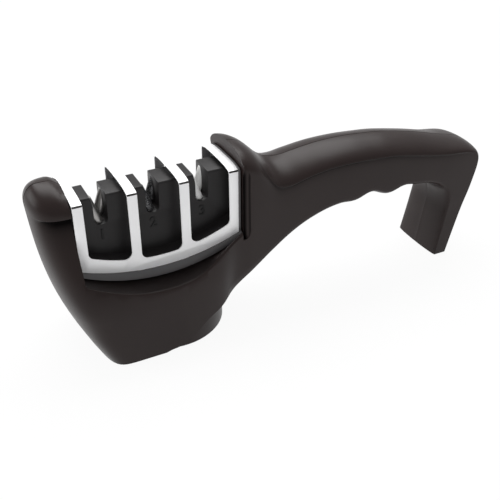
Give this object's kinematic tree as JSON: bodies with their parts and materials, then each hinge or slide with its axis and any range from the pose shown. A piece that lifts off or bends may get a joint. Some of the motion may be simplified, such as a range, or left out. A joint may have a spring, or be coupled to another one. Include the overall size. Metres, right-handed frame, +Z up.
{
  "type": "manual knife sharpener",
  "caption": "Hand-held knife sharpener: an arched body with a grip handle and a lift-out cartridge of V slots with crossed abrasive rods under a bent steel cover.",
  "frame": {"origin": "on the table under the middle of the bounding box", "axes": "+X from the nose along the body to the end of the handle, +Y across the body, away from the side that faces the camera in the picture, +Z up"},
  "size_m": [0.208, 0.0506, 0.0778],
  "materials": {
    "body_plastic": "satin dark brown-black moulded plastic",
    "inner_plastic": "plain black moulded plastic",
    "cartridge_plastic": "satin dark grey moulded plastic",
    "cover_steel": "brushed stainless sheet",
    "rod_steel": "polished metal",
    "rod_diamond": "dark abrasive coating on a metal rod",
    "rod_ceramic": "white ceramic",
    "screw_steel": "plain steel",
    "pad_rubber": "black rubber"
  },
  "bodies": {
    "body": {"body_shell_near": "body_plastic", "body_shell_far": "body_plastic", "base_plate": "inner_plastic", "base_pad": "pad_rubber", "handle_foot_pad": "pad_rubber", "shell_screws": "screw_steel", "base_screws": "screw_steel"},
    "cartridge": {"cartridge_frame": "cartridge_plastic", "steel_cover": "cover_steel", "cartridge_floor": "inner_plastic", "cartridge_screws": "screw_steel", "coarse_rod_holder": "inner_plastic", "fine_rod_holder": "inner_plastic", "polish_rod_holder": "inner_plastic", "coarse_rod_near": "rod_steel", "coarse_rod_far": "rod_steel", "fine_rod_near": "rod_diamond", "fine_rod_far": "rod_diamond", "polish_rod_near": "rod_ceramic", "polish_rod_far": "rod_ceramic"}
  },
  "joints": [
    {"name": "cartridge_lift", "type": "slide", "parent": "body", "child": "cartridge", "axis": [0, 0, 1], "range_m": [0, 0.045]}
  ]
}
